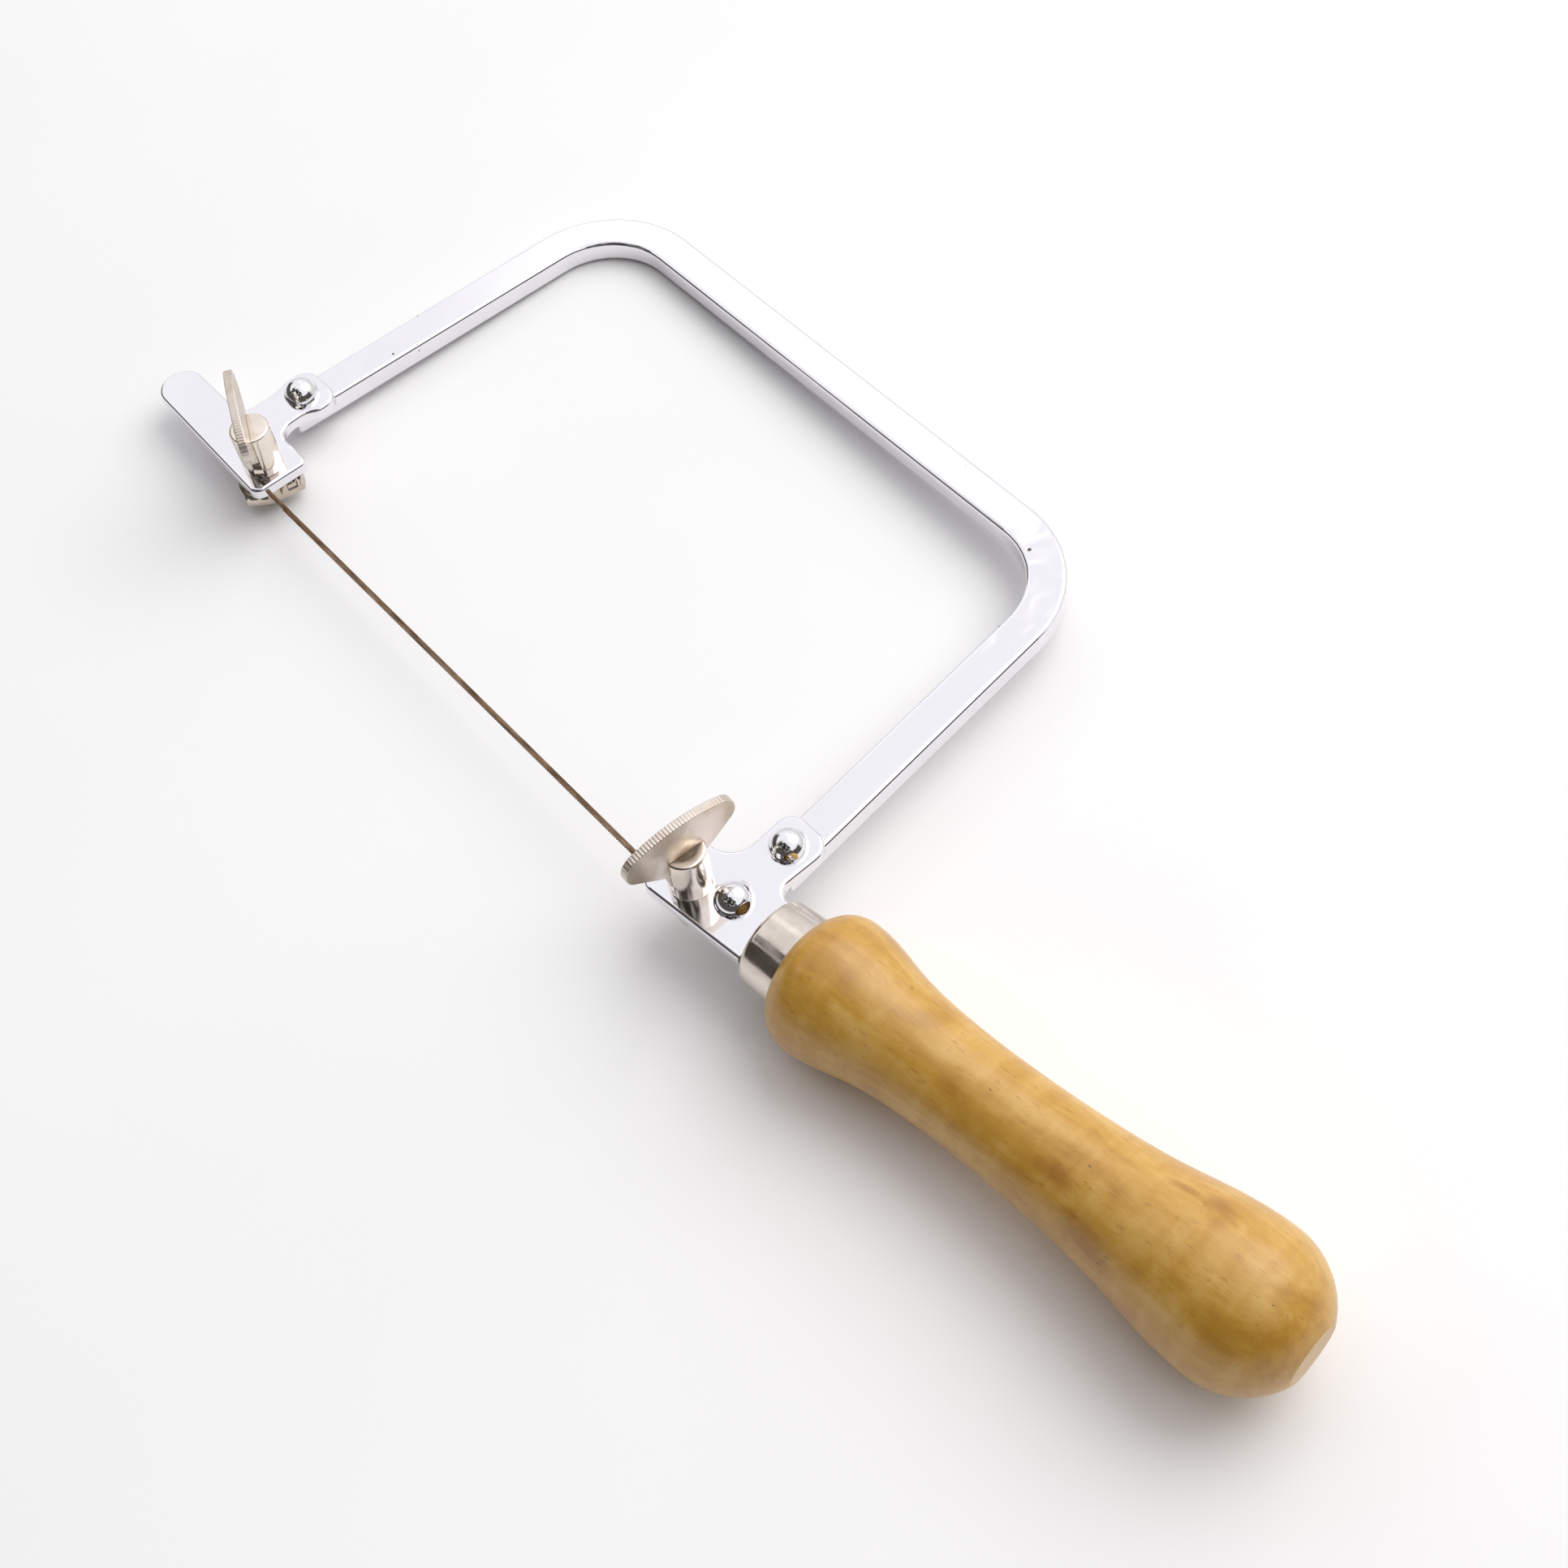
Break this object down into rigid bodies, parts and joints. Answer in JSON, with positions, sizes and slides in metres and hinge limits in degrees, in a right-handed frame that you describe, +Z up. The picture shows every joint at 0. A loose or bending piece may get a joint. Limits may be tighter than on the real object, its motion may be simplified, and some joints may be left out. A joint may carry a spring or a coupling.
{
  "type": "jeweler saw frame",
  "caption": "Fixed U-shaped jeweler's saw frame with turned wooden handle; thumbscrew clamps at toe and heel hold a fine blade across the open end.",
  "frame": {"origin": "centre of the bottom of the bounding box, level with the lowest point of the handle's swell", "axes": "+X along the spine from the toe to the handle, +Y from the blade to the spine, +Z up through the thumbscrews, with the saw lying flat"},
  "size_m": [0.2818, 0.1068, 0.0347],
  "materials": {
    "chrome_bow": "polished",
    "chrome_plate": "polished",
    "chrome_rivet": "polished",
    "nickel": "polished nickel",
    "tang_steel": "plain",
    "blade_steel": "blued and brown",
    "handle_wood": "clear lacquer"
  },
  "bodies": {
    "frame": {"frame_bow": "chrome_bow", "toe_bracket": "chrome_plate", "heel_bracket": "chrome_plate", "toe_arm_rivet": "chrome_rivet", "heel_arm_rivet": "chrome_rivet", "tang_rivet": "chrome_rivet", "tang": "tang_steel", "ferrule": "nickel", "handle": "handle_wood", "saw_blade": "blade_steel"},
    "toe_thumbscrew": {"toe_thumbscrew_post": "nickel", "toe_thumb_wing": "nickel"},
    "toe_clamp_jaw": {"toe_jaw": "nickel"},
    "heel_thumbscrew": {"heel_thumbscrew_post": "nickel", "heel_thumb_wing": "nickel"},
    "heel_clamp_jaw": {"heel_jaw": "nickel"}
  },
  "joints": [
    {"name": "toe_screw_turn", "type": "hinge", "parent": "frame", "child": "toe_thumbscrew", "pos_m": [-0.10822, -0.04216, 0.01675], "axis": [0, 0, 1], "range_deg": [0, 1350]},
    {"name": "toe_jaw_slide", "type": "slide", "parent": "frame", "child": "toe_clamp_jaw", "axis": [0, 0, -1], "range_m": [0, 0.00263]},
    {"name": "heel_screw_turn", "type": "hinge", "parent": "frame", "child": "heel_thumbscrew", "pos_m": [0.01928, -0.04216, 0.01675], "axis": [0, 0, 1], "range_deg": [0, 1350]},
    {"name": "heel_jaw_slide", "type": "slide", "parent": "frame", "child": "heel_clamp_jaw", "axis": [0, 0, -1], "range_m": [0, 0.00263]}
  ],
  "couplings": [
    {"joint": "toe_jaw_slide", "follows": "toe_screw_turn", "m_per_rad": 0.00011141},
    {"joint": "heel_jaw_slide", "follows": "heel_screw_turn", "m_per_rad": 0.00011141}
  ]
}
